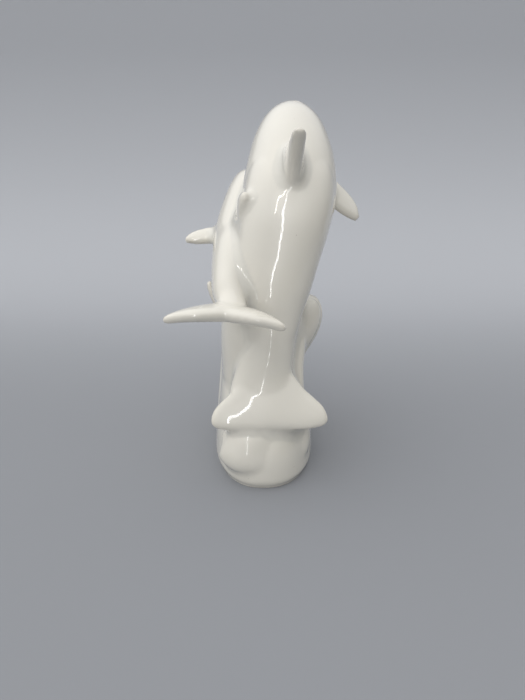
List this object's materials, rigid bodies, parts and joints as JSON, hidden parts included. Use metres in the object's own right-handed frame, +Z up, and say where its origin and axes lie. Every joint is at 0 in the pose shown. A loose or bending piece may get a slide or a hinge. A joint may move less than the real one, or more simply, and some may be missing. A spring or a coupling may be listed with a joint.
{
  "type": "dolphin pair figurine",
  "caption": "Glazed white porcelain figurine of a tall dolphin and a smaller one leaping side by side off a wave, on a flat oval foot that rests on a shelf or table.",
  "frame": {"origin": "middle of the flat oval underside, at the surface it stands on", "axes": "+Z up; +Y along the foot towards the heads, so -Y is the end with the flukes; +X to the side away from the smaller dolphin"},
  "size_m": [0.1384, 0.1863, 0.2677],
  "materials": {
    "white_glaze": "clear high-gloss glaze over warm white porcelain, greyer where it pools in the joins, with a bare matt foot rim underneath"
  },
  "bodies": {
    "root": {"dolphin_group": "white_glaze"}
  },
  "joints": []
}
